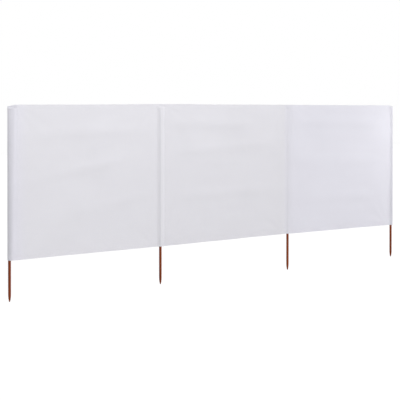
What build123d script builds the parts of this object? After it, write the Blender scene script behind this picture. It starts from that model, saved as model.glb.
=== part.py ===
"""Beach windbreak: one long cloth in three bays, held upright by four round wooden poles.

Frame, in millimetres: the origin is the flat end of pole 2's point, +Z is up the pole, +X runs along
the middle bay towards pole 3, and -Y is the cloth's face side.
Every pole stands in a pocket sewn into the cloth. A middle pocket is a strip sewn behind the cloth
along both its edges, so that the pole swells it into a lens. An end pocket is the cloth's own end,
taken round the pole and sewn down behind. All pockets are sewn shut at the top, where they sit on
the poles' ends, and open at the bottom. The outer bays turn about poles 2 and 3, and stand turned
a little, as a windbreak that is set up by hand does.
"""

from build123d import *
from math import sqrt
import os

# The cloth: face ply from Y = -PLY to Y = 0, and everything turned in or sewn on lies behind it.
CLOTH_LENGTH = 4000.0
CLOTH_HEIGHT = 1200.0
PLY = 0.8
BAYS = 3

# Hems and seams: the edge is turned in twice, so two more layers lie behind the face ply.
TURNED_LAYERS = 2
HEM_DEPTH = 30.0
SEAM_WIDTH = 12.0

# The poles: turned from round rod, with a blunt point for pushing into sand.
POLE_DIAMETER = 22.0
POLE_LENGTH = 1490.0
POINT_LENGTH = 52.0
POINT_FLAT = 8.0
POINT_SWELL = 1.6
POLE_TOP_ROUND = 4.0

# The pockets, measured out from the axis of their pole. The hollow ends short of the seam that grips
# its two plies, in a crease of the half thickness given.
MIDDLE_SEAM_REACH = 36.0
END_SEAM_REACH = 50.0
END_FOLD_REACH = 20.0
FOLD_RADIUS = 4.0
POLE_EASE = 0.3
SEAM_GRIP = 3.0
CREASE_HALF = 0.2

# The sewn-shut top: how far the cloth rises over the pole's end, how much of that is sewn flat, half
# the flat band's thickness over the pole, and how far an end pocket's outer corner is pulled down.
POCKET_RISE = 35.0
FLAT_BAND = 24.0
BAND_HALF = 1.6
CORNER_DROP = 12.0

# The bay that stays still while the outer ones turn, the room beside the pockets they turn about, and
# how far each outer bay stands turned from the middle one's line, in degrees.
FIXED_BAY = 2
TURNING_GAP = 0.3
STANDS_TURNED = {1: 1.0, 3: 3.0}

# Sizes that follow from those above.
POLE_RADIUS = POLE_DIAMETER / 2
POCKET_SWELL = POLE_RADIUS + POLE_EASE + PLY
TURNED_THICKNESS = TURNED_LAYERS * PLY
POLE_PITCH = (CLOTH_LENGTH - 2 * END_FOLD_REACH) / BAYS
CLOTH_TOP = POLE_LENGTH + POCKET_RISE
CLOTH_BOTTOM = CLOTH_TOP - CLOTH_HEIGHT
BAND_BOTTOM = CLOTH_TOP - FLAT_BAND
LAST_POLE = BAYS
POLE_X = [(number - FIXED_BAY + 1) * POLE_PITCH for number in range(LAST_POLE + 1)]


def slab(x_from, x_to, y_from, y_to, z_from, z_to):
    """A flat-sided block between two corners."""
    size = (x_to - x_from, y_to - y_from, z_to - z_from)
    return Pos(x_from, y_from, z_from) * Box(*size, align=Align.MIN)


# Poles


def pole():
    """A round pole from its flat-ended point at Z = 0 to its rounded top."""
    shoulder = (POLE_RADIUS, POINT_LENGTH)
    flat_edge = (POINT_FLAT / 2, 0)
    point_side = SagittaArc(flat_edge, shoulder, -POINT_SWELL)
    rounded_from = (POLE_RADIUS, POLE_LENGTH - POLE_TOP_ROUND)
    rounded_to = (POLE_RADIUS - POLE_TOP_ROUND, POLE_LENGTH)
    outline = [
        Line((0, 0), flat_edge),
        point_side,
        Line(shoulder, rounded_from),
        RadiusArc(rounded_from, rounded_to, -POLE_TOP_ROUND),
        Line(rounded_to, (0, POLE_LENGTH)),
        Line((0, POLE_LENGTH), (0, 0)),
    ]
    return revolve(Plane.XZ * make_face(outline), Axis.Z)


# Pockets


def is_fold(number, side):
    """Whether the cloth's end folds round at this side of a pole, -1 for its left and +1 for its right."""
    return (number == 0 and side < 0) or (number == LAST_POLE and side > 0)


def seam_reach(number):
    """How far from its pole the pocket is sewn down."""
    return END_SEAM_REACH if number in (0, LAST_POLE) else MIDDLE_SEAM_REACH


def flank(number, side, inset):
    """Three points on the upper half of a section, at one side: where the cloth leaves the pole, where
    its straight flank ends, and the middle of the fold or seam beyond.

    The flank is the line that touches both the pole and a smaller round at the fold or the seam.
    """
    if is_fold(number, side):
        place = side * (END_FOLD_REACH - FOLD_RADIUS)
        radius = FOLD_RADIUS - inset
    else:
        place = side * (seam_reach(number) - (SEAM_GRIP if inset else 0))
        radius = CREASE_HALF if inset else PLY
    lean = (POCKET_SWELL - inset - radius) / place
    normal = Vector(lean, sqrt(1 - lean**2))
    leaves_pole = normal * (POCKET_SWELL - inset)
    if is_fold(number, side):
        return leaves_pole, Vector(place, 0) + normal * radius, Vector(place + side * radius, 0)
    return leaves_pole, Vector(place, radius / normal.Y), Vector(place, 0)


def below(point):
    """The point's mirror image across the middle of the section."""
    return Vector(point.X, -point.Y)


def pocket_section(number, inset=0):
    """A pocket's outside, drawn tight over its pole, or with the ply's inset the hollow inside it."""
    crest = Vector(0, POCKET_SWELL - inset)
    outline = []
    leaving = {}
    for side in (-1, 1):
        leaves_pole, end, tip = flank(number, side, inset)
        around = ThreePointArc(end, tip, below(end)) if is_fold(number, side) else Line(end, below(end))
        outline += [Line(leaves_pole, end), around, Line(below(end), below(leaves_pole))]
        leaving[side] = leaves_pole
    outline.append(ThreePointArc(leaving[-1], crest, leaving[1]))
    outline.append(ThreePointArc(below(leaving[-1]), below(crest), below(leaving[1])))
    return make_face(outline)


def pole_pocket(number):
    """The pocket from the cloth's lower edge up to the end of the pole, open at both ends."""
    wall = pocket_section(number) - pocket_section(number, inset=PLY)
    return Pos(0, 0, CLOTH_BOTTOM) * extrude(wall, POLE_LENGTH - CLOTH_BOTTOM)


def pinched(number, inset=0):
    """A pocket's outside or hollow above the pole's end, pinched together up to the flat band."""
    gable = Polyline(
        (-POCKET_SWELL + inset, POLE_LENGTH),
        (POCKET_SWELL - inset, POLE_LENGTH),
        (BAND_HALF - inset, BAND_BOTTOM),
        (-BAND_HALF + inset, BAND_BOTTOM),
        close=True,
    )
    straight_up = Pos(0, 0, POLE_LENGTH) * extrude(pocket_section(number, inset), BAND_BOTTOM - POLE_LENGTH)
    return straight_up & extrude(Plane.YZ * make_face(gable), POLE_PITCH / 2, both=True)


def under_slope(number):
    """The space under an end pocket's upper edge, which falls from the seam to the fold."""
    outward = -1 if number == 0 else 1
    fold_x = outward * END_FOLD_REACH
    seam_x = -outward * END_SEAM_REACH
    profile = Polyline(
        (fold_x, CLOTH_TOP - CORNER_DROP),
        (seam_x, CLOTH_TOP),
        (seam_x, BAND_BOTTOM),
        (fold_x, BAND_BOTTOM),
        close=True,
    )
    return extrude(Plane.XZ * make_face(profile), POCKET_SWELL, both=True)


def flat_band(number):
    """The band sewn flat along a pocket's top."""
    straight_up = Pos(0, 0, BAND_BOTTOM) * extrude(pocket_section(number), FLAT_BAND)
    half_pitch = POLE_PITCH / 2
    band = straight_up & slab(-half_pitch, half_pitch, -BAND_HALF, BAND_HALF, BAND_BOTTOM, CLOTH_TOP)
    return band & under_slope(number) if number in (0, LAST_POLE) else band


def pocket_top(number):
    """The pocket's closed top, where its two plies come together over the pole's end."""
    return pinched(number) - pinched(number, inset=PLY) + flat_band(number)


# Cloth between the pockets


def bay_edges(bay):
    """Where a bay's own cloth starts and ends on X, beside the pockets at its two poles."""
    left, right = bay - 1, bay
    left_gap = TURNING_GAP if bay > FIXED_BAY else 0
    right_gap = TURNING_GAP if bay < FIXED_BAY else 0
    return POLE_X[left] + seam_reach(left) + left_gap, POLE_X[right] - seam_reach(right) - right_gap


def bay_cloth(bay):
    """The single face ply of one bay."""
    start, end = bay_edges(bay)
    return slab(start, end, -PLY, 0, CLOTH_BOTTOM, CLOTH_TOP)


def pocket_seam(bay, at_left):
    """The turned-in edge of a pocket's strip, sewn flat behind the face ply along one side of a bay."""
    start, end = bay_edges(bay)
    x_from = start if at_left else end - SEAM_WIDTH
    return slab(x_from, x_from + SEAM_WIDTH, 0, TURNED_THICKNESS, CLOTH_BOTTOM, CLOTH_TOP)


def hem(bay, z_from):
    """The turned-in edge along the top or bottom of a bay, between its two pocket seams."""
    start, end = bay_edges(bay)
    return slab(start + SEAM_WIDTH, end - SEAM_WIDTH, 0, TURNED_THICKNESS, z_from, z_from + HEM_DEPTH)


# Assembly


def in_bay(bay, piece):
    """A piece of a bay, turned with it about the pole that it shares with the bay that stays still."""
    if bay == FIXED_BAY:
        return piece
    hinge = Pos(POLE_X[bay] if bay < FIXED_BAY else POLE_X[bay - 1], 0, 0)
    return hinge * Rot(0, 0, STANDS_TURNED[bay]) * hinge.inverse() * piece


def bay_of_pole(number):
    """The bay that a pole belongs to: the fixed bay has both its poles, and each outer bay its far one."""
    if number < FIXED_BAY - 1:
        return number + 1
    return max(number, FIXED_BAY)


def windbreak():
    """Every piece in its place, by name. Poles and pockets are numbered from the left."""
    pieces = {}
    for number, x in enumerate(POLE_X):
        bay = bay_of_pole(number)
        pieces[f"pole_{number + 1}"] = in_bay(bay, Pos(x, 0, 0) * pole())
        pieces[f"pole_pocket_{number + 1}"] = in_bay(bay, Pos(x, 0, 0) * pole_pocket(number))
        pieces[f"pocket_top_{number + 1}"] = in_bay(bay, Pos(x, 0, 0) * pocket_top(number))
    for bay in range(1, BAYS + 1):
        pieces[f"bay_cloth_{bay}"] = in_bay(bay, bay_cloth(bay))
        pieces[f"top_hem_{bay}"] = in_bay(bay, hem(bay, CLOTH_TOP - HEM_DEPTH))
        pieces[f"bottom_hem_{bay}"] = in_bay(bay, hem(bay, CLOTH_BOTTOM))
        pieces[f"pocket_seam_{bay}_right"] = in_bay(bay, pocket_seam(bay, at_left=True))
        pieces[f"pocket_seam_{bay + 1}_left"] = in_bay(bay, pocket_seam(bay, at_left=False))
    return pieces


os.makedirs("parts", exist_ok=True)
for name, piece in windbreak().items():
    export_step(piece, f"parts/{name}.step")
print("poles every", POLE_PITCH, "mm, cloth from", CLOTH_BOTTOM, "to", CLOTH_TOP, "mm")
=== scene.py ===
"""The looks of a beach windbreak: one long cloth in three bays, on four stained wooden poles.

The cloth is laid out straight first, with X along its bays from pole 2, Y towards its back and Z up the
poles. Each outer bay is then turned about the pole that it shares with the middle one, as it stands.
"""

import math
from bisect import bisect
from collections import namedtuple
from functools import cache

import bpy
from mathutils import Matrix, Vector, noise


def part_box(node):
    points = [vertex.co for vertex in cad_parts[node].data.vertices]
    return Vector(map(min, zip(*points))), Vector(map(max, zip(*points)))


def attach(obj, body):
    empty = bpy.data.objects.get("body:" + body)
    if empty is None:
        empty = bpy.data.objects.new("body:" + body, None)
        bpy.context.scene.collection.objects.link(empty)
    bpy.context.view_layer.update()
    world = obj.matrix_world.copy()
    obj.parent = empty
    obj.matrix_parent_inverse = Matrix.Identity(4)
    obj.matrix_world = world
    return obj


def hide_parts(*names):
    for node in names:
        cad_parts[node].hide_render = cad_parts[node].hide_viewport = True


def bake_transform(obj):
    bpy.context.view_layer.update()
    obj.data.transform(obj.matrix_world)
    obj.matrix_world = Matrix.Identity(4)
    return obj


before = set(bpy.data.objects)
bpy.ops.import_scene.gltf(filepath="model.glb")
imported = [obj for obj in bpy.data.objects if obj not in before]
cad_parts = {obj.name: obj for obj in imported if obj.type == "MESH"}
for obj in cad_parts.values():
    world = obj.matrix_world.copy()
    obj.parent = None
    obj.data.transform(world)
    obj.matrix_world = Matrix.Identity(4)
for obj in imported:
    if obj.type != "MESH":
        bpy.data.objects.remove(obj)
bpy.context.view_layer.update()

MM = 0.001

# The windbreak's own sizes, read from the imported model. Poles are numbered from 0 here.

BAYS = (1, 2, 3)
POLES = (0, 1, 2, 3)
LAST_POLE = POLES[-1]
HINGE_POLES = (1, 2)


def pole_centre(number):
    """The middle of a pole, where it stands."""
    low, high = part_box(f"pole_{number + 1}")
    return (low + high) / 2


def bearing(start, end):
    """The direction from one pole to the next, seen from above."""
    run = pole_centre(end) - pole_centre(start)
    return math.atan2(run.y, run.x)


PITCH = (pole_centre(2) - pole_centre(1)).length
POLE_X = [(number - 1) * PITCH for number in POLES]
HINGE_X = {1: POLE_X[1], 2: POLE_X[1], 3: POLE_X[2]}
TURNED = {bay: bearing(bay - 1, bay) for bay in BAYS}


def laid_straight(node, bay):
    """A node's lowest and highest corner once its bay is turned back into line."""
    hinge = Vector((HINGE_X[bay], 0, 0))
    turn_back = Matrix.Rotation(-TURNED[bay], 3, "Z")
    corners = [hinge + turn_back @ (vertex.co - hinge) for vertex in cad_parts[node].data.vertices]
    low = Vector([min(corner[axis] for corner in corners) for axis in range(3)])
    high = Vector([max(corner[axis] for corner in corners) for axis in range(3)])
    return low, high


cloth_low, cloth_high = laid_straight("bay_cloth_2", 2)
hem_low, hem_high = laid_straight("top_hem_2", 2)
edge_low, edge_high = laid_straight("pocket_seam_2_right", 2)
end_low, end_high = laid_straight("pole_pocket_1", 1)

CLOTH_BOTTOM = cloth_low.z
CLOTH_TOP = cloth_high.z
CLOTH_HEIGHT = CLOTH_TOP - CLOTH_BOTTOM
PLY = cloth_high.y - cloth_low.y
HEM_DEPTH = hem_high.z - hem_low.z
EDGE_WIDTH = edge_high.x - edge_low.x
MIDDLE_REACH = cloth_low.x - POLE_X[1]
END_REACH = end_high.x - POLE_X[0]
FOLD_REACH = POLE_X[0] - end_low.x
DRAWN_OUT = end_high.y - PLY / 2
POLE_TOP = laid_straight("pole_2", 2)[1].z

# The cloth is drawn thinner than the room that each ply has, so layers never meet.
DRAWN_SHARE = 0.65
CLOTH_THICKNESS = DRAWN_SHARE * PLY

# How the cloth is made up: the band sewn flat over each pole, how far an end pocket's outer corner is pulled
# down, how far from the cloth's edge a hem's raw edge lies, and how far a strip behind a pole ends short of
# the cloth's edge and is turned in.
FLAT_BAND = 24 * MM
BAND_BOTTOM = CLOTH_TOP - FLAT_BAND
CORNER_DROP = 12 * MM
RAW_EDGE = 2 * MM
STRIP_SHORT = 2 * MM
STRIP_TURN = 22 * MM


def clamped(t):
    """A share kept from 0 to 1."""
    return min(max(t, 0.0), 1.0)


def smooth(t):
    """A soft step from 0 to 1."""
    t = clamped(t)
    return t * t * (3 - 2 * t)


def between(start, end, t):
    """The value at a share of the way from a start to an end."""
    return start + (end - start) * t


def evenly(start, end, step):
    """Places from start to end, both included, about a step apart."""
    count = max(1, round(abs(end - start) / step))
    return [start + (end - start) * i / count for i in range(count + 1)]


def share_up(z):
    """How far up the cloth a height lies: 0 at its lower edge and 1 at its upper one."""
    return (z - CLOTH_BOTTOM) / CLOTH_HEIGHT


# The cloth's edges aren't quite level: how far above its own place its lower and its upper edge lies at
# each pole.
LIFTED = ((-4 * MM, -1 * MM), (-4 * MM, 6 * MM), (10 * MM, 1 * MM), (-6 * MM, -2 * MM))


def lifted(x, z):
    """How far above its own place the cloth lies, between the two poles beside it."""
    left = min(max(int(x // PITCH) + 1, 0), LAST_POLE - 1)
    t = clamped((x - POLE_X[left]) / PITCH)
    low, high = [between(before, after, t) for before, after in zip(LIFTED[left], LIFTED[left + 1])]
    return between(low, high, share_up(z))


def stand(x, y, z):
    """A point of the straight cloth, turned with its bay. Across the pocket at a hinge pole it turns
    little by little."""
    outer = 1 if x < (POLE_X[1] + POLE_X[2]) / 2 else 3
    hinge_x = HINGE_X[outer]
    across = smooth((x - hinge_x + MIDDLE_REACH) / (2 * MIDDLE_REACH))
    angle = TURNED[outer] * (across if outer == 3 else 1 - across)
    run = x - hinge_x
    turned_x = hinge_x + run * math.cos(angle) - y * math.sin(angle)
    turned_y = run * math.sin(angle) + y * math.cos(angle)
    return Vector((turned_x, turned_y, z + lifted(x, z)))


# How the cloth hangs between its poles

# It is slack enough to billow a little, with faint folds. A wave has the distance that it goes, its width and
# its height, and what fades away from a seam or a corner has its reach.
BILLOW, BILLOW_AT_EDGES = 5 * MM, 0.35
TOP_SAG, BOTTOM_RISE = 0.5 * MM, 0.5 * MM
EDGE_WAVE, EDGE_WAVE_WIDTH, EDGE_WAVES_UP = 2 * MM, 260 * MM, 1.5
SOFT_WAVE, SOFT_WAVE_WIDTH, SOFT_WAVE_HEIGHT = 3.5 * MM, 460 * MM, 300 * MM
SMALL_WAVE, SMALL_WAVE_WIDTH, SMALL_WAVE_HEIGHT = 2 * MM, 450 * MM, 110 * MM
PULL, PULL_REACH, PULL_FADES, PULL_FOLDS = 1.2 * MM, 340 * MM, 2.2, 13
PUCKER, PUCKER_REACH, PUCKER_LENGTH = 1.1 * MM, 9 * MM, 21 * MM
HEM_STITCH = 26 * MM
HEM_STITCHED = (CLOTH_BOTTOM + HEM_STITCH, CLOTH_TOP - HEM_STITCH)

# How soon the cloth is free of its seams: the higher, the nearer to them.
FREE_SOON = 3

# Where each pattern lies in the noise, and how far it moves on with the place of a corner or seam, so that
# no two look alike.
SMALL_SEED, EDGE_SEED, PUCKER_SEED, RIPPLE_SEED = 9, 20, 3.7, 5
PULL_SHIFT, PUCKER_SHIFT = 5, 10

# The long soft folds of each bay, nearly level: where each starts and ends, as shares of the way across the
# bay and up it. Then how far they stand out, half their width, and the share of their length over which
# each end fades.
LONG_FOLDS = {
    1: ((0.0, 0.80, 0.95, 0.83), (-0.1, 0.46, 0.8, 0.64), (0.4, 0.28, 0.9, 0.37)),
    2: ((0.0, 0.87, 0.7, 0.85), (0.15, 0.67, 0.9, 0.71), (0.1, 0.34, 0.95, 0.36)),
    3: ((0.0, 0.87, 0.9, 0.85), (0.0, 0.58, 0.95, 0.55), (0.05, 0.25, 0.8, 0.27)),
}
FOLD_OUT, FOLD_HALF_WIDTH, FOLD_FADES = 5.5 * MM, 55 * MM, 0.3

# How far behind the line between its poles each bay's cloth hangs: at its left end, and at its right end's
# lower and upper corner. It lies before that line, so every number is below 0.
STANDS_BACK = {
    1: (-24.8 * MM, -1 * MM, -1 * MM),
    2: (-6 * MM, -8 * MM, -8 * MM),
    3: (-18.5 * MM, -1.5 * MM, -4 * MM),
}

# Beside a seam the cloth dips, at its left end and at its right, and more below than above.
DIPS = {1: (0.4 * MM, 0.8 * MM), 2: (1.8 * MM, 1.2 * MM), 3: (1.5 * MM, 0.5 * MM)}
DIP_LENGTH, DIP_BELOW, DIP_ABOVE = 17 * MM, 1.4, 0.3


def reach(number):
    """How far from its pole a pocket is sewn down."""
    return END_REACH if number in (0, LAST_POLE) else MIDDLE_REACH


def at_seams(bay):
    """Where the single ply of a bay starts and ends, beside the pockets at its two poles."""
    return POLE_X[bay - 1] + reach(bay - 1), POLE_X[bay] - reach(bay)


def puckered(distance, along_seam):
    """The small puckers that a row of stitches draws into the cloth beside it."""
    swell = distance / PUCKER_REACH * math.exp(1 - distance / PUCKER_REACH)
    place = Vector((along_seam / PUCKER_LENGTH, distance / PUCKER_LENGTH, PUCKER_SEED))
    return PUCKER * swell * noise.noise(place)


def pulled(corner_x, corner_z, x, z):
    """The faint folds that fan out from a corner of a bay, where the cloth is pulled tight."""
    far = math.dist((x, z), (corner_x, corner_z)) / PULL_REACH
    angle = math.atan2(abs(z - corner_z), abs(x - corner_x))
    fan = math.sin(PULL_FOLDS * angle + PULL_SHIFT * corner_x)
    return PULL * far * math.exp(1 - PULL_FADES * far) * fan


def long_folds(bay, across, up):
    """How far the long folds of a bay stand out, at a share of the way across the bay and up it."""
    out = 0
    for start, low, end, high in LONG_FOLDS[bay]:
        t = (across - start) / (end - start)
        from_ridge = (up - between(low, high, t)) * CLOTH_HEIGHT / FOLD_HALF_WIDTH
        out += smooth(min(t, 1 - t) / FOLD_FADES + 0.5) * math.exp(-from_ridge ** 2)
    return FOLD_OUT * out


def hang(bay, x, z):
    """How far the cloth of a bay lies behind the straight plane, and how far it has dropped."""
    start, end = at_seams(bay)
    across, up = (x - start) / (end - start), share_up(z)
    slack = math.sin(math.pi * clamped(across))
    free = 1 - (1 - slack) ** FREE_SOON
    soft = noise.noise(Vector((x / SOFT_WAVE_WIDTH, z / SOFT_WAVE_HEIGHT, bay)))
    small = noise.noise(Vector((x / SMALL_WAVE_WIDTH, z / SMALL_WAVE_HEIGHT, SMALL_SEED + bay)))
    wave = noise.noise(Vector((x / EDGE_WAVE_WIDTH, EDGE_WAVES_UP * up, EDGE_SEED + bay)))
    left_back, low_right, high_right = STANDS_BACK[bay]
    back = between(left_back, between(low_right, high_right, up), across)
    back += BILLOW * slack * between(BILLOW_AT_EDGES, 1, math.sin(math.pi * up))
    back += free * (SOFT_WAVE * soft + SMALL_WAVE * small - long_folds(bay, across, up))
    for seam_x, dip in zip((start, end), DIPS[bay]):
        back += free * sum(pulled(seam_x, corner_z, x, z) for corner_z in (CLOTH_BOTTOM, CLOTH_TOP))
        back += puckered(abs(x - seam_x), z + PUCKER_SHIFT * seam_x)
        back += dip * between(DIP_BELOW, DIP_ABOVE, up) * math.exp(-abs(x - seam_x) / DIP_LENGTH)
    for stitched_z in HEM_STITCHED:
        back += free * puckered(abs(z - stitched_z), x)
    drop = slack * between(-BOTTOM_RISE, TOP_SAG, up) - free * EDGE_WAVE * wave
    return back, drop


# Rows of a sheet run from the raw edge inside its bottom hem to the raw edge inside its top hem. Each
# is a height and how deep its layer lies behind the face.

HEM_STEP = 5 * MM
FACE_STEP = 6.5 * MM
FINE_STEP = 2.5 * MM
TURN_STEPS, EDGE_TURN_STEPS = 4, 6


def turn(centre, deep, radius, start, end, steps):
    """Rows round a fold, as distances from the edge and depths, by angle from the depth's own way."""
    angles = [start + (end - start) * i / steps for i in range(1, steps)]
    return [(centre + radius * math.sin(a), deep + radius * math.cos(a)) for a in angles]


def double_hem():
    """A hem turned in twice, as distances from the cloth's edge and depths, from its raw edge."""
    tuck = HEM_DEPTH - PLY / 2
    rows = [(place, PLY) for place in evenly(RAW_EDGE, tuck, HEM_STEP)]
    rows += turn(tuck, 1.5 * PLY, PLY / 2, math.pi, 0, TURN_STEPS)
    rows += [(place, 2 * PLY) for place in evenly(tuck, PLY, HEM_STEP)]
    rows += turn(PLY, PLY, PLY, 0, -math.pi, EDGE_TURN_STEPS)
    return rows


def single_hem():
    """An edge turned in once, which the strips behind the poles have."""
    rows = [(place, PLY) for place in evenly(STRIP_TURN, PLY / 2, HEM_STEP)]
    rows += turn(PLY / 2, PLY / 2, PLY / 2, 0, -math.pi, TURN_STEPS)
    return rows


def sheet_rows(bottom, top, hem, fine=False):
    """All rows of a sheet between its two hems, closer together over a pole's end if it is fine."""
    lowest, highest = bottom + PLY / 2, top - PLY / 2
    near_end = POLE_TOP - FLAT_BAND
    if fine:
        heights = evenly(lowest, near_end, FACE_STEP) + evenly(near_end, highest, FINE_STEP)[1:]
    else:
        heights = evenly(lowest, highest, FACE_STEP)
    rows = [(bottom + place, deep) for place, deep in hem]
    rows += [(z, 0.0) for z in heights]
    rows += [(top - place, deep) for place, deep in reversed(hem)]
    return rows


def along(path):
    """How far along its path each point lies."""
    places = [0.0]
    for before, after in zip(path, path[1:]):
        places.append(places[-1] + math.dist(before, after))
    return places


# Making the mesh of a sheet

# From this angle on, in degrees, two faces meet at a sharp edge.
SHARP_ANGLE = 60


def settle(piece):
    """Makes a piece's modifiers part of its mesh, smooth but for its cut edges."""
    depsgraph = bpy.context.evaluated_depsgraph_get()
    final = bpy.data.meshes.new_from_object(piece.evaluated_get(depsgraph))
    piece.modifiers.clear()
    piece.data = final
    final.shade_smooth()
    final.set_sharp_from_angle(angle=math.radians(SHARP_ANGLE))


def new_piece(name, vertices, faces):
    """An object of these vertices and faces."""
    mesh = bpy.data.meshes.new(name)
    mesh.from_pydata(vertices, [], faces)
    piece = bpy.data.objects.new(name, mesh)
    bpy.context.scene.collection.objects.link(piece)
    return piece


def whole(row, column):
    """Keeps every face of a sheet."""
    return True


def sheet_piece(name, points, weave, keep):
    """A cloth piece from rows of points, and the size that it was cut to. weave says where each point lies
    in the flat cloth, and keep which faces there are."""
    width = len(points[0])
    faces = []
    for row in range(len(points) - 1):
        for column in range(width - 1):
            if keep(row, column):
                first = row * width + column
                faces.append((first, first + 1, first + width + 1, first + width))
    used = sorted({corner for face in faces for corner in face})
    order = {old: new for new, old in enumerate(used)}
    vertices = [points[corner // width][corner % width] for corner in used]
    piece = new_piece(name, vertices, [[order[corner] for corner in face] for face in faces])
    layer = piece.data.uv_layers.new(name="weave")
    for loop, place in zip(piece.data.loops, layer.data):
        corner = used[loop.vertex_index]
        place.uv = weave[corner // width][corner % width]
    ply = piece.modifiers.new("ply", "SOLIDIFY")
    ply.thickness = CLOTH_THICKNESS
    ply.offset = 0
    settle(piece)
    (left, low), (right, high) = weave[0][0], weave[-1][-1]
    return piece, (right - left, high - low)


# The cloth of the bays

SEAM_COLUMN, FREE_COLUMN, COLUMNS_WIDEN = 3 * MM, 11 * MM, 90 * MM


def bay_columns(bay):
    """Places across a bay, closer together beside its seams."""
    start, end = at_seams(bay)
    half = (end - start) / 2
    places = [0.0]
    while places[-1] < half:
        widened = smooth(places[-1] / COLUMNS_WIDEN)
        places.append(places[-1] + SEAM_COLUMN + (FREE_COLUMN - SEAM_COLUMN) * widened)
    places = [place * half / places[-1] for place in places]
    return [start + place for place in places] + [end - place for place in reversed(places[:-1])]


def bay_cloth(bay):
    """The face cloth of one bay, with a double hem turned to the back at its top and its bottom."""
    rows = sheet_rows(CLOTH_BOTTOM, CLOTH_TOP, double_hem())
    columns = bay_columns(bay)
    points = []
    for z, deep in rows:
        hung = [hang(bay, x, z) for x in columns]
        points.append([stand(x, back + deep - PLY / 2, z - drop)
                       for x, (back, drop) in zip(columns, hung)])
    weave = [[(x, up) for x in columns] for up in along(rows)]
    return sheet_piece(f"cloth_{bay}", points, weave, whole)


# The pockets: a ply drawn over a pole, from seam to seam, or from the seam to the fold at the cloth's end

# How finely a ply is drawn from its pole to the seam, over the pole and round a fold, and how it ripples.
FLANK_STEPS, CROWN_STEPS, FOLD_STEPS = 10, 16, 8
FLANK_RIPPLE, RIPPLE_LENGTH = 1.1 * MM, 70 * MM

# The height over which a ply goes from a hem's layers to its own, and the distance over which it eases into
# the closing top.
HEM_EASE = 10 * MM
CLOSING = 1.5 * MM

# How a ply goes from the pole to its seam, by pole and side, at the cloth's lower and at its upper edge.
# 1 is straight, more flares out towards the seam, and less than 0 falls to it at the last. At the end poles
# it lies flat for a little before the seam.
FLARE = {
    (0, 1): (2.9, 1.5),
    (1, -1): (1.6, 1.6),
    (1, 1): (-3, -3),
    (2, -1): (3, 3),
    (2, 1): (1.3, 1.3),
    (3, -1): (3.3, 3.3),
}
LIES_FLAT = {(0, 1): 14 * MM, (3, -1): 6 * MM}
FLARE_BEHIND = (1.5, 1.5)

# The folds at the cloth's two ends, drawn tight over their poles: their round and how slack the cloth is
# beside it, the round's distance across from the pole's middle, and how far behind that middle it lies at
# the lower and at the upper edge.
FOLD_ROUND, FOLD_SLACK = 3 * MM, 0.6
FOLD_PLACE = {0: 12 * MM, LAST_POLE: 8.4 * MM}
FOLDS_BACK = {0: (5 * MM, -2.2 * MM), LAST_POLE: (-15.5 * MM, -14 * MM)}

# A ply lies before (-1) or behind (+1) its pole. Its hem has this many more layers inside it, and at a
# seam it lies so many plies from the pocket's middle, away from the hems and in them.
Ply = namedtuple("Ply", "side hem_layers seam seam_in_hem")
FACE = Ply(-1, 2, 0.5, 2.5)
STRIP = Ply(1, 1, 1.5, 1.5)
TURNED_BACK = Ply(1, 2, 1.5, 2.5)


def fold_side(number):
    """Which way the cloth's end folds round a pole: -1 left, +1 right, 0 at a middle pole."""
    return {0: -1, LAST_POLE: 1}.get(number, 0)


def bay_beside(number, side):
    """The bay to the left (-1) or the right (+1) of a pole."""
    return number if side < 0 else number + 1


def in_hem(z):
    """How far a height lies within the layers of a hem, from 0 to 1."""
    from_edge = min(z - CLOTH_BOTTOM, CLOTH_TOP - z)
    return 1 - smooth((from_edge - HEM_DEPTH) / HEM_EASE)


def pocket_ends(number, z):
    """The left and right end of a pocket's middle line at a height: place across and how far back."""
    ends = []
    for side in (-1, 1):
        if side == fold_side(number):
            low, high = FOLDS_BACK[number]
            ends.append((side * FOLD_PLACE[number], between(low, high, share_up(z))))
        else:
            back = hang(bay_beside(number, side), POLE_X[number] + side * reach(number), z)[0]
            ends.append((side * reach(number), back + 2 * PLY * in_hem(z)))
    return ends


# How far round its pole a ply can leave it, in radians, and how often that range is halved to find where.
ROUND_POLE, HALVINGS = 1.4, 30


def leaves_pole(swell, place, out, flare):
    """The angle round the pole at which a ply leaves it for a seam, found by halving."""
    low, high = -ROUND_POLE, ROUND_POLE
    for halving in range(HALVINGS):
        angle = (low + high) / 2
        slope = max(flare, 0) * (swell * math.cos(angle) - out) / (place - swell * math.sin(angle))
        low, high = (angle, high) if math.tan(angle) < slope else (low, angle)
    return angle


def flared(left, flare):
    """How much of its rise a ply still has, and how steep it is, where this share of its way is left."""
    if flare > 0:
        return left ** flare, flare * left ** (flare - 1)
    return 1 - (1 - left) ** -flare, -flare * (1 - left) ** (-flare - 1)


def to_seam(side, swell, seam, out, flare, flat):
    """A ply from the pole to its seam, and flat for the last of it. Each sample is a point, the way out of
    the cloth there and how slack it is."""
    place = seam - flat
    angle = leaves_pole(swell, place, out, flare)
    leaves, height = swell * math.sin(angle), swell * math.cos(angle)
    samples = []
    for i in range(FLANK_STEPS + 1):
        left = 1 - i / FLANK_STEPS
        share, steepness = flared(left, flare)
        point = Vector((side * (place + (leaves - place) * left), out + (height - out) * share))
        slope = steepness * (height - out) / (place - leaves)
        samples.append((point, Vector((side * slope, 1)).normalized(), math.sin(math.pi * left)))
    lies_flat = evenly(place, seam, SEAM_COLUMN)[1:] if flat else []
    samples += [(Vector((side * x, out)), Vector((0, 1)), 0) for x in lies_flat]
    return samples


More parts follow.
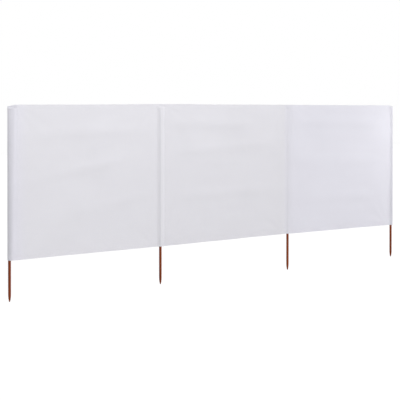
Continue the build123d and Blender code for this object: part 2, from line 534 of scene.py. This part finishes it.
def to_fold(side, swell, centre):
    """A ply from the pole to the middle of the fold at the cloth's end, whose round has this centre, in
    samples like those of to_seam."""
    along_line = centre.normalized()
    away = Vector((-along_line.y, along_line.x)) * side
    lean = (swell - FOLD_ROUND) / centre.length
    way = along_line * lean + away * math.sqrt(1 - lean * lean)
    samples = []
    for i in range(FLANK_STEPS + 1):
        t = i / FLANK_STEPS
        point = (way * swell).lerp(centre + way * FOLD_ROUND, t)
        samples.append((point, way, FOLD_SLACK * math.sin(math.pi * t)))
    start, turned = math.atan2(way.y, way.x), way.angle_signed(along_line)
    for i in range(1, FOLD_STEPS + 1):
        angle = start - turned * i / FOLD_STEPS
        way = Vector((math.cos(angle), math.sin(angle)))
        samples.append((centre + way * FOLD_ROUND, way, 0))
    return samples


@cache
def section(number, ply, z):
    """A ply over a pole at a height, from left to right, with its own side up, in samples like those of
    to_seam."""
    share = in_hem(z)
    swell = DRAWN_OUT + ply.hem_layers * PLY * share
    halves = []
    for side, (place, back) in zip((-1, 1), pocket_ends(number, z)):
        if side == fold_side(number):
            halves.append(to_fold(side, swell, Vector((place, ply.side * back))))
        else:
            out = ply.side * back + PLY * between(ply.seam, ply.seam_in_hem, share)
            lower, upper = FLARE[number, side] if ply.side < 0 else FLARE_BEHIND
            flare = between(lower, upper, share_up(z))
            flat = LIES_FLAT.get((number, side), 0) if ply.side < 0 else 0
            halves.append(to_seam(side, swell, abs(place), out, flare, flat))
    left, right = halves
    start = math.atan2(left[0][1].y, left[0][1].x)
    finish = min(math.atan2(right[0][1].y, right[0][1].x), start)
    crown = []
    for i in range(1, CROWN_STEPS):
        angle = start + (finish - start) * i / CROWN_STEPS
        way = Vector((math.cos(angle), math.sin(angle)))
        crown.append((way * swell, way, 0))
    return left[::-1] + crown + right


def softer_min(a, b, ease):
    """The lesser of two, rounded where they meet."""
    near = max(ease - abs(a - b), 0) / ease
    return min(a, b) - near * near * ease / 4


def closed_to(number, z, drawn, band_half):
    """How far from the middle a ply may lie at a height, as it closes over the pole's end."""
    cloth_rises = lifted(POLE_X[number], BAND_BOTTOM)
    closing = (z + cloth_rises - POLE_TOP) / (BAND_BOTTOM + cloth_rises - POLE_TOP)
    return between(drawn, band_half, min(closing, 1.0)) if closing > 0 else drawn - closing


def ply_line(number, ply, z, deep):
    """The points of a ply over a pole at a height, from left to right, for a layer this deep in it."""
    (left, left_back), (right, right_back) = pocket_ends(number, z)
    lean = (right_back - left_back) / (right - left)
    limit = closed_to(number, z, DRAWN_OUT + abs(left_back - lean * left), ply.seam_in_hem * PLY)
    points = []
    for place, out, slack in section(number, ply, z):
        middle = left_back + lean * (min(max(place.x, left), right) - left)
        seed = RIPPLE_SEED * number + ply.side
        ripple = noise.noise(Vector((z / RIPPLE_LENGTH, place.x / RIPPLE_LENGTH, seed)))
        distance = place.y - ply.side * middle + FLANK_RIPPLE * slack * ripple
        out = out.lerp(Vector((0, 1)), smooth((distance - limit) / CLOSING + 0.5))
        distance = softer_min(distance, limit, CLOSING)
        points.append((place.x - out.x * deep, middle + ply.side * (distance - out.y * deep)))
    return points


def pulled_down(number, x, z):
    """The height of a point of an end pocket's top, whose outer corner is pulled down."""
    if z <= BAND_BOTTOM or not fold_side(number):
        return z
    outwards = (x * fold_side(number) + reach(number)) / (reach(number) + FOLD_REACH)
    return z - CORNER_DROP * smooth(outwards) * (z - BAND_BOTTOM) / FLAT_BAND


def edge_samples(number):
    """The turned-in edge beyond a seam: flat out to its fold, then back under itself. Each is how far from
    the pole it lies and how deep."""
    outer = reach(number) + EDGE_WIDTH - PLY / 2
    flat = [(x, 0.0) for x in evenly(reach(number), outer, FINE_STEP)[1:]]
    folded = turn(outer, PLY / 2, PLY / 2, math.pi, 0, TURN_STEPS)
    under = [(x, PLY) for x in evenly(outer, reach(number) + PLY, FINE_STEP)]
    return flat + folded + under


def edge_line(number, side, z, deep):
    """The points of the turned-in edge beyond a seam, from the seam outwards. It lies on the bay's cloth."""
    points = []
    for x, under in edge_samples(number):
        back = hang(bay_beside(number, side), POLE_X[number] + side * x, z)[0]
        points.append((side * x, back + 1.5 * PLY - under - deep + 2 * PLY * in_hem(z)))
    return points


def pocket_sheet(name, number, line, rows, keep):
    """A sheet at a pole. line gives its points, across and back, at a height and for a layer's depth."""
    points = []
    for z, deep in rows:
        points.append([stand(POLE_X[number] + x, y, pulled_down(number, x, z)) for x, y in line(z, deep)])
    widths = along(line((CLOTH_BOTTOM + CLOTH_TOP) / 2, 0))
    weave = [[(POLE_X[number] + wide, up) for wide in widths] for up in along(rows)]
    return sheet_piece(name, points, weave, keep)


def between_hems(rows):
    """The numbers of the rows between a sheet's two hems, where it is a single layer."""
    single = [row for row, (z, deep) in enumerate(rows) if deep == 0]
    return range(single[0], single[-1])


def pocket_face(number):
    """The face cloth over a middle pole, between the two seams of its pocket."""
    rows = sheet_rows(CLOTH_BOTTOM, CLOTH_TOP, double_hem(), fine=True)

    def line(z, deep):
        return ply_line(number, FACE, z, deep)

    return pocket_sheet(f"pocket_face_{number + 1}", number, line, rows, whole)


def pocket_strip(number):
    """The strip sewn behind a middle pole, its long edges turned in and its ends turned in between them."""
    rows = sheet_rows(CLOTH_BOTTOM + STRIP_SHORT, CLOTH_TOP - STRIP_SHORT, single_hem(), fine=True)

    def line(z, deep):
        left = edge_line(number, -1, z, deep)[::-1]
        return left + ply_line(number, STRIP, z, deep) + edge_line(number, 1, z, deep)

    edge = len(edge_samples(number))
    inside = range(edge + 1, len(line(POLE_TOP, 0)) - edge - 2)
    single_rows = between_hems(rows)

    def keep(row, column):
        return row in single_rows or column in inside

    return pocket_sheet(f"pocket_strip_{number + 1}", number, line, rows, keep)


def pocket_end(number):
    """The end of the cloth, folded round an end pole and sewn down behind, its edge turned in."""
    rows = sheet_rows(CLOTH_BOTTOM, CLOTH_TOP, double_hem(), fine=True)
    outwards = fold_side(number)

    def wrapped(z, deep):
        before = ply_line(number, FACE, z, deep)
        behind = ply_line(number, TURNED_BACK, z, deep)
        return before + behind[::-1][1:] if outwards > 0 else before[::-1] + behind[1:]

    def line(z, deep):
        return wrapped(z, deep) + edge_line(number, -outwards, z, deep)

    last_wrapped = len(wrapped(POLE_TOP, 0)) - 1
    single_rows = between_hems(rows)

    def keep(row, column):
        return row in single_rows or column < last_wrapped

    return pocket_sheet(f"pocket_end_{number + 1}", number, line, rows, keep)


# Stitching

# How far apart stitches are, how long and how wide. Their rows lie this far from a seam into the bay, at
# these heights across a closed top, and this far from a strip's end.
STITCH_PITCH, STITCH_LENGTH, STITCH_WIDTH = 5 * MM, 3.8 * MM, 0.8 * MM
SEAM_ROWS = (2.5 * MM, 9.5 * MM)
CLOSING_ROWS = (BAND_BOTTOM + 2 * MM, CLOTH_TOP - 4 * MM)
STRIP_STITCH = 19 * MM

# A stitch has a ring of corners at this share of its length from each end.
RING_SHARE, RING_CORNERS = 0.28, 4


class Stitches:
    """Gathers rows of stitches and makes them one piece."""

    def __init__(self):
        self.vertices = []
        self.faces = []

    def stitch(self, start, end, out):
        """One stitch, sunk to half its thickness in the cloth, with a ring near each of its ends."""
        across = (end - start).normalized().cross(out) * STITCH_WIDTH / 2
        up = out * STITCH_WIDTH / 2
        first = len(self.vertices)
        self.vertices.append(start)
        for share in (RING_SHARE, 1 - RING_SHARE):
            middle = start.lerp(end, share)
            self.vertices += [middle + across, middle + up, middle - across, middle - up]
        self.vertices.append(end)
        last = len(self.vertices) - 1
        for i in range(RING_CORNERS):
            a, b = first + 1 + i, first + 1 + (i + 1) % RING_CORNERS
            after_a, after_b = a + RING_CORNERS, b + RING_CORNERS
            self.faces += [(first, b, a), (a, b, after_b, after_a), (last, after_a, after_b)]

    def row(self, place, start, end):
        """A row of stitches. place gives the point at a distance along it and the way out."""
        for middle in evenly(start + STITCH_PITCH / 2, end - STITCH_PITCH / 2, STITCH_PITCH):
            before = place(middle - STITCH_LENGTH / 2)[0]
            after, out = place(middle + STITCH_LENGTH / 2)
            self.stitch(before, after, out)

    def row_along(self, points, side):
        """A row along a level line of points on the surface before (-1) or behind (+1) the cloth."""
        places = along(points)

        def place(distance):
            i = min(max(bisect(places, distance), 1), len(points) - 1)
            run = points[i] - points[i - 1]
            point = points[i - 1] + run * (distance - places[i - 1]) / run.length
            return point, run.cross(Vector((0, 0, -side))).normalized()

        self.row(place, 0, places[-1])

    def piece(self, name):
        """All the stitches as one smooth object."""
        made = new_piece(name, self.vertices, self.faces)
        made.data.shade_smooth()
        return made


def surface(side, deep):
    """How far behind the face ply's middle the outer surface of a layer lies, before (-1) or behind (+1)."""
    return deep + side * CLOTH_THICKNESS / 2


def on_bay(bay, x, z, side, layers):
    """A point on a bay's cloth, before (-1) or behind (+1) it, where it has these more layers behind its
    face, and the way out."""
    back, drop = hang(bay, x, z)
    y = back - PLY / 2 + surface(side, layers * PLY if side > 0 else 0)
    return stand(x, y, z - drop), Vector((0, side, 0))


def bay_stitches(bay):
    """The rows that hold a bay's hems and the edges of the strips or folds at its two poles."""
    made = Stitches()
    start, end = at_seams(bay)
    for side in (-1, 1):
        for z in HEM_STITCHED:
            made.row(lambda x: on_bay(bay, x, z, side, 2), start + EDGE_WIDTH, end - EDGE_WIDTH)
        for inwards in SEAM_ROWS:
            for x in (start + inwards, end - inwards):
                made.row(lambda z: on_bay(bay, x, z, side, 2 + 2 * in_hem(z)),
                         CLOTH_BOTTOM + STRIP_SHORT, CLOTH_TOP - STRIP_SHORT)
    return made.piece(f"stitches_{bay}")


def pocket_stitches(number):
    """The rows across a pocket: those of its hems, and the two that close its top."""
    made = Stitches()
    behind = TURNED_BACK if fold_side(number) else STRIP
    for ply in (FACE, behind):
        from_edge = STRIP_SHORT + STRIP_STITCH if ply is STRIP else HEM_STITCH
        for z in (CLOTH_BOTTOM + from_edge, CLOTH_TOP - from_edge) + CLOSING_ROWS:
            line = ply_line(number, ply, z, -CLOTH_THICKNESS / 2)
            points = [stand(POLE_X[number] + x, y, pulled_down(number, x, z)) for x, y in line]
            made.row_along(points, ply.side)
    return made.piece(f"pocket_stitches_{number + 1}")


def dress_bay(bay):
    """Makes a bay's cloth and stitching, and gives them to its body."""
    cloth, cut = bay_cloth(bay)
    stitches = bay_stitches(bay)
    for piece in (cloth, stitches):
        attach(piece, f"bay_{bay}")
    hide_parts(f"bay_cloth_{bay}", f"top_hem_{bay}", f"bottom_hem_{bay}")
    return [cloth], [stitches]


def dress_pocket(number):
    """Makes the cloth at a pole. At a hinge pole it turns little by little from the one bay to the other."""
    stitches = pocket_stitches(number)
    if number in HINGE_POLES:
        face, face_cut = pocket_face(number)
        strip, strip_cut = pocket_strip(number)
        end = Vector((POLE_X[number] + MIDDLE_REACH, 0, CLOTH_BOTTOM))
        for piece in (face, strip, stitches):
            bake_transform(piece)
        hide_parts(f"pole_pocket_{number + 1}", f"pocket_top_{number + 1}")
        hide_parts(f"pocket_seam_{number + 1}_left", f"pocket_seam_{number + 1}_right")
        return [face, strip], [stitches]
    end, cut = pocket_end(number)
    for piece in (end, stitches):
        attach(piece, "bay_1" if number == 0 else "bay_3")
    inner = "right" if number == 0 else "left"
    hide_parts(f"pole_pocket_{number + 1}", f"pocket_top_{number + 1}",
                f"pocket_seam_{number + 1}_{inner}")
    return [end], [stitches]


# Materials


def linear(colour):
    """An sRGB hex colour as the linear colour that a shader takes."""
    parts = [int(colour[i:i + 2], 16) / 255 for i in (1, 3, 5)]
    return [p / 12.92 if p <= 0.04045 else ((p + 0.055) / 1.055) ** 2.4 for p in parts] + [1.0]


def add(tree, kind, settings=None, links=None):
    """One node with its settings and what is linked into it."""
    node = tree.nodes.new(kind)
    for name, value in (settings or {}).items():
        if isinstance(name, str) and hasattr(node, name):
            setattr(node, name, value)
        else:
            node.inputs[name].default_value = value
    for name, source in (links or {}).items():
        tree.links.new(source, node.inputs[name])
    return node


def new_material(name):
    """An empty material and its tree."""
    material = bpy.data.materials.new(name)
    material.use_nodes = True
    material.node_tree.nodes.clear()
    return material, material.node_tree


# The sockets of a mix node that take two colours, and the one that gives their mix. Their names are shared
# with those of its other kinds.
COLOUR_A, COLOUR_B, MIXED = 6, 7, 2

# The distance at which a wave texture of scale 1 repeats.
WAVE_PERIOD = math.pi / 10

# The weave of the cloth has about 2 threads a millimetre, too fine to show, so it is drawn five times
# as coarse. Slubs are the thicker stretches of single threads, and shades the broad patches where the dull
# white varies.
THREAD_PITCH = 2.4 * MM
SLUB_LENGTH, SLUB_WIDTH = 160 * MM, 3.5 * MM
SHADE_SIZE = 312.5 * MM

# The dull white of the threads, and the darker white of the gaps between them, which is painted shade in the
# low places of the weave. It leans more to blue towards the cloth's two ends: the middle of the plainer
# stretch, and how far from there the lean starts and is complete.
THREAD_WHITE, PAINTED_GAP_SHADE, MORE_BLUE = "#E6E5EA", "#DEDDE3", 1.028
PLAIN_MIDDLE, LEAN_STARTS, LEAN_ENDS = 50 * MM, 1200 * MM, 1350 * MM


def woven_polyester():
    """Polyester in a plain weave, dull white: matt, with faint slubs both ways and a soft sheen."""
    material, tree = new_material("woven_polyester")
    place = add(tree, "ShaderNodeUVMap", {"uv_map": "weave"}).outputs[0]
    waves = []
    for direction in ("X", "Y"):
        wave = add(tree, "ShaderNodeTexWave",
                   {"bands_direction": direction, "Scale": WAVE_PERIOD / THREAD_PITCH},
                   {"Vector": place}).outputs["Fac"]
        waves.append(add(tree, "ShaderNodeMath", {"operation": "SUBTRACT", 1: 0.5}, {0: wave}).outputs[0])
    crossing = add(tree, "ShaderNodeMath", {"operation": "MULTIPLY"},
                   {0: waves[0], 1: waves[1]}).outputs[0]
    weave = add(tree, "ShaderNodeMath", {"operation": "MULTIPLY_ADD", 1: 2.0, 2: 0.5},
                {0: crossing}).outputs[0]
    slubs = []
    for long, tall in ((SLUB_LENGTH, SLUB_WIDTH), (SLUB_WIDTH, SLUB_LENGTH)):
        stretched = add(tree, "ShaderNodeVectorMath", {"operation": "DIVIDE", 1: (long, tall, 1)},
                        {0: place}).outputs[0]
        slubs.append(add(tree, "ShaderNodeTexNoise", {"Scale": 1.0, "Detail": 1.0},
                         {"Vector": stretched}).outputs["Fac"])
    slub = add(tree, "ShaderNodeMath", {"operation": "ADD"}, {0: slubs[0], 1: slubs[1]}).outputs[0]
    shade = add(tree, "ShaderNodeTexNoise", {"Scale": 1 / SHADE_SIZE, "Detail": 2.0},
                {"Vector": place}).outputs["Fac"]
    # The gaps between the threads are painted darker, as shade in the low places of the weave.
    threads = add(tree, "ShaderNodeMix",
                  {"data_type": "RGBA", COLOUR_A: linear(PAINTED_GAP_SHADE), COLOUR_B: linear(THREAD_WHITE)},
                  {0: weave}).outputs[MIXED]
    shaded = add(tree, "ShaderNodeMapRange",
                 {"From Min": 0.2, "From Max": 0.8, "To Min": 0.985, "To Max": 1.015},
                 {"Value": shade}).outputs[0]
    slubbed = add(tree, "ShaderNodeMapRange",
                  {"From Min": 0.5, "From Max": 1.5, "To Min": 0.985, "To Max": 1.015},
                  {"Value": slub}).outputs[0]
    both = add(tree, "ShaderNodeMath", {"operation": "MULTIPLY"}, {0: shaded, 1: slubbed}).outputs[0]
    plain = add(tree, "ShaderNodeVectorMath", {"operation": "SCALE"},
                {0: threads, "Scale": both}).outputs[0]
    along_cloth = add(tree, "ShaderNodeSeparateXYZ", {}, {0: place}).outputs["X"]
    from_middle = add(tree, "ShaderNodeMath", {"operation": "SUBTRACT", 1: PLAIN_MIDDLE},
                      {0: along_cloth}).outputs[0]
    outwards = add(tree, "ShaderNodeMath", {"operation": "ABSOLUTE"}, {0: from_middle}).outputs[0]
    lean = add(tree, "ShaderNodeMapRange",
               {"interpolation_type": "SMOOTHSTEP", "From Min": LEAN_STARTS, "From Max": LEAN_ENDS,
                "To Min": 1.0, "To Max": MORE_BLUE},
               {"Value": outwards}).outputs[0]
    leaning = add(tree, "ShaderNodeCombineXYZ", {"X": 1.0, "Y": 1.0}, {"Z": lean}).outputs[0]
    colour = add(tree, "ShaderNodeVectorMath", {"operation": "MULTIPLY"},
                 {0: plain, 1: leaning}).outputs[0]
    rough = add(tree, "ShaderNodeMapRange", {"To Min": 0.9, "To Max": 0.78}, {"Value": weave}).outputs[0]
    relief = add(tree, "ShaderNodeMath", {"operation": "MULTIPLY_ADD", 1: 0.5},
                 {0: slub, 2: weave}).outputs[0]
    bump = add(tree, "ShaderNodeBump", {"Strength": 0.5, "Distance": 0.2 * MM},
               {"Height": relief}).outputs[0]
    shader = add(tree, "ShaderNodeBsdfPrincipled",
                 {"IOR": 1.53, "Sheen Weight": 0.08, "Sheen Roughness": 0.5, "Specular IOR Level": 0.25},
                 {"Base Color": colour, "Roughness": rough, "Normal": bump})
    add(tree, "ShaderNodeOutputMaterial", {}, {"Surface": shader.outputs[0]})
    return material


# The length over which the thread's twist repeats, and its colours in the twist's grooves, darker there as
# painted shade, and outside them.
TWIST_PITCH = 1.2 * MM
PAINTED_GROOVE_SHADE, THREAD_OUTSIDE = "#D6D5DB", "#ECEBEF"


def stitching_thread():
    """Twisted polyester thread: a little brighter and smoother than the cloth, with a fine twist."""
    material, tree = new_material("stitching_thread")
    place = add(tree, "ShaderNodeTexCoord").outputs["Object"]
    twist = add(tree, "ShaderNodeTexWave",
                {"bands_direction": "DIAGONAL", "Scale": WAVE_PERIOD / TWIST_PITCH},
                {"Vector": place}).outputs["Fac"]
    # The grooves of the twist are painted darker: painted shade.
    colour = add(tree, "ShaderNodeMix",
                 {"data_type": "RGBA", COLOUR_A: linear(PAINTED_GROOVE_SHADE), COLOUR_B: linear(THREAD_OUTSIDE)},
                 {0: twist}).outputs[MIXED]
    bump = add(tree, "ShaderNodeBump", {"Strength": 0.4, "Distance": 0.1 * MM},
               {"Height": twist}).outputs[0]
    shader = add(tree, "ShaderNodeBsdfPrincipled", {"Roughness": 0.6, "Sheen Weight": 0.1},
                 {"Base Color": colour, "Normal": bump})
    add(tree, "ShaderNodeOutputMaterial", {}, {"Surface": shader.outputs[0]})
    return material


# Pine's pores, and its bands of early and late wood, measured across the grain. Both are drawn out along
# the pole, where they change this much more slowly.
PORE_WIDTH, BAND_WIDTH, ALONG_GRAIN = 2.381 * MM, 7.692 * MM, 0.03
LATE_WOOD, EARLY_WOOD = "#5E2510", "#96451C"


def stained_pine():
    """Turned pine under a red-brown stain: long grain, dark latewood lines, a dull film of stain."""
    material, tree = new_material("stained_pine")
    place = add(tree, "ShaderNodeTexCoord").outputs["Object"]
    stretched = add(tree, "ShaderNodeVectorMath", {"operation": "MULTIPLY", 1: (1, 1, ALONG_GRAIN)},
                    {0: place}).outputs[0]
    grain = add(tree, "ShaderNodeTexNoise", {"Scale": 1 / PORE_WIDTH, "Detail": 4.0, "Roughness": 0.6},
                {"Vector": stretched}).outputs["Fac"]
    bands = add(tree, "ShaderNodeTexNoise", {"Scale": 1 / BAND_WIDTH, "Detail": 2.0},
                {"Vector": stretched}).outputs["Fac"]
    ramp = add(tree, "ShaderNodeValToRGB", {}, {"Fac": bands})
    for stop, where, tone in zip(ramp.color_ramp.elements, (0.3, 0.7), (LATE_WOOD, EARLY_WOOD)):
        stop.position = where
        stop.color = linear(tone)
    pores = add(tree, "ShaderNodeMapRange",
                {"From Min": 0.3, "From Max": 0.7, "To Min": 0.86, "To Max": 1.08},
                {"Value": grain}).outputs[0]
    colour = add(tree, "ShaderNodeVectorMath", {"operation": "SCALE"},
                 {0: ramp.outputs[0], "Scale": pores}).outputs[0]
    rough = add(tree, "ShaderNodeMapRange", {"To Min": 0.75, "To Max": 0.6}, {"Value": grain}).outputs[0]
    bump = add(tree, "ShaderNodeBump", {"Strength": 0.5, "Distance": 0.15 * MM},
               {"Height": grain}).outputs[0]
    shader = add(tree, "ShaderNodeBsdfPrincipled", {"IOR": 1.5, "Specular IOR Level": 0.2},
                 {"Base Color": colour, "Roughness": rough, "Normal": bump})
    add(tree, "ShaderNodeOutputMaterial", {}, {"Surface": shader.outputs[0]})
    return material


def finish(pieces, material):
    """Gives pieces one material."""
    for piece in pieces:
        piece.data.materials.clear()
        piece.data.materials.append(material)


cloths, stitched = [], []
for bay in BAYS:
    cloth, stitches = dress_bay(bay)
    cloths += cloth
    stitched += stitches
for number in POLES:
    cloth, stitches = dress_pocket(number)
    cloths += cloth
    stitched += stitches

finish(cloths, woven_polyester())
finish(stitched, stitching_thread())
wood = stained_pine()
for number in POLES:
    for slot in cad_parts[f"pole_{number + 1}"].material_slots:
        slot.material = wood


# Camera, floor and light

# Where the camera stands in metres, its angles in degrees, its lens and sensor in millimetres, and how far
# the lens is shifted as a share of the sensor's width.
CAMERA_PLACE = (-3.349, -6.565, 1.508)
CAMERA_YAW = 29.65
CAMERA_PITCH = 0.53
LENS = 78.0
SENSOR_WIDTH = 36
SHIFT_DOWN = 0.213

scene = bpy.context.scene
scene.view_settings.view_transform = "Standard"

camera = bpy.data.cameras.new("camera")
camera.lens = LENS
camera.sensor_width = SENSOR_WIDTH
camera.shift_y = -SHIFT_DOWN
viewer = bpy.data.objects.new("camera", camera)
viewer.location = CAMERA_PLACE
viewer.rotation_euler = (math.radians(90 - CAMERA_PITCH), 0, -math.radians(CAMERA_YAW))
scene.collection.objects.link(viewer)
scene.camera = viewer

FLOOR_SIZE = 40.0
half = FLOOR_SIZE / 2
corners = [(-half, -half, 0), (half, -half, 0), (half, half, 0), (-half, half, 0)]
floor = new_piece("floor", corners, [(0, 1, 2, 3)])

# How strongly the floor glows where it is seen, its colours under the lamps and where it is seen, and how
# strong the light from all round is.
FLOOR_GLOW = 0.83
FLOOR_UNSEEN, FLOOR_SEEN, WHITE = "#D0D0D0", "#808080", "#FFFFFF"
AMBIENT = 0.3


def in_view(tree):
    """Whether a ray comes from the camera, or reaches this by way of something glossy or clear."""
    path = add(tree, "ShaderNodeLightPath")
    seen = path.outputs["Is Camera Ray"]
    for ray in ("Is Glossy Ray", "Is Transmission Ray"):
        either = add(tree, "ShaderNodeMath", {"operation": "MAXIMUM"}, {0: seen, 1: path.outputs[ray]})
        seen = either.outputs[0]
    return seen


def white_floor():
    """A plain floor that looks white to the camera and still keeps the object's shadow."""
    material, tree = new_material("white_floor")
    plain = add(tree, "ShaderNodeBsdfDiffuse", {"Color": linear(FLOOR_UNSEEN)})
    shaded = add(tree, "ShaderNodeBsdfDiffuse", {"Color": linear(FLOOR_SEEN)})
    glow = add(tree, "ShaderNodeEmission", {"Color": linear(WHITE), "Strength": FLOOR_GLOW})
    seen = add(tree, "ShaderNodeAddShader", {}, {0: shaded.outputs[0], 1: glow.outputs[0]})
    mix = add(tree, "ShaderNodeMixShader", {},
              {0: in_view(tree), 1: plain.outputs[0], 2: seen.outputs[0]})
    add(tree, "ShaderNodeOutputMaterial", {}, {"Surface": mix.outputs[0]})
    return material


finish([floor], white_floor())


def studio_world():
    """White where it is seen, and a plain level of light on the object."""
    world = bpy.data.worlds.new("studio")
    world.use_nodes = True
    tree = world.node_tree
    tree.nodes.clear()
    lit = add(tree, "ShaderNodeBackground", {"Color": linear(WHITE), "Strength": AMBIENT})
    white = add(tree, "ShaderNodeBackground", {"Color": linear(WHITE), "Strength": 1.0})
    mix = add(tree, "ShaderNodeMixShader", {},
              {0: in_view(tree), 1: lit.outputs[0], 2: white.outputs[0]})
    add(tree, "ShaderNodeOutputWorld", {}, {"Surface": mix.outputs[0]})
    return world


scene.world = studio_world()


def softbox(name, place, target, size, power):
    """A soft rectangular lamp that faces a target."""
    light = bpy.data.lights.new(name, "AREA")
    light.shape = "RECTANGLE"
    light.size, light.size_y = size
    light.energy = power
    lamp = bpy.data.objects.new(name, light)
    lamp.location = place
    lamp.rotation_euler = (Vector(target) - Vector(place)).to_track_quat("-Z", "Y").to_euler()
    scene.collection.objects.link(lamp)


def daylight(name, azimuth, elevation, spread, strength):
    """Broad light from far off, its azimuth from straight before the cloth towards the right."""
    light = bpy.data.lights.new(name, "SUN")
    light.energy = strength
    light.angle = math.radians(spread)
    lamp = bpy.data.objects.new(name, light)
    across, up = math.radians(azimuth), math.radians(elevation)
    towards = Vector((math.sin(across) * math.cos(up), -math.cos(across) * math.cos(up), math.sin(up)))
    lamp.rotation_euler = towards.to_track_quat("Z", "Y").to_euler()
    scene.collection.objects.link(lamp)


daylight("daylight_before", azimuth=30, elevation=25, spread=50, strength=1.5)
daylight("daylight_behind", azimuth=190, elevation=35, spread=90, strength=2.5)
softbox("overhead_left", place=(-1.6, -1.8, 3.2), target=(-1.2, 0, 1.3), size=(1.4, 1.0), power=11.5)
softbox("overhead_middle", place=(0.6, -1.8, 3.2), target=(0.6, 0, 1.3), size=(1.4, 1.0), power=12.5)
softbox("overhead_right", place=(3.0, -1.4, 2.9), target=(2.5, 0, 1.3), size=(1.0, 1.0), power=1)
softbox("beside_right", place=(3.1, -0.75, 1.4), target=(2.6, 0.05, 1.2), size=(0.3, 0.3), power=2.3)
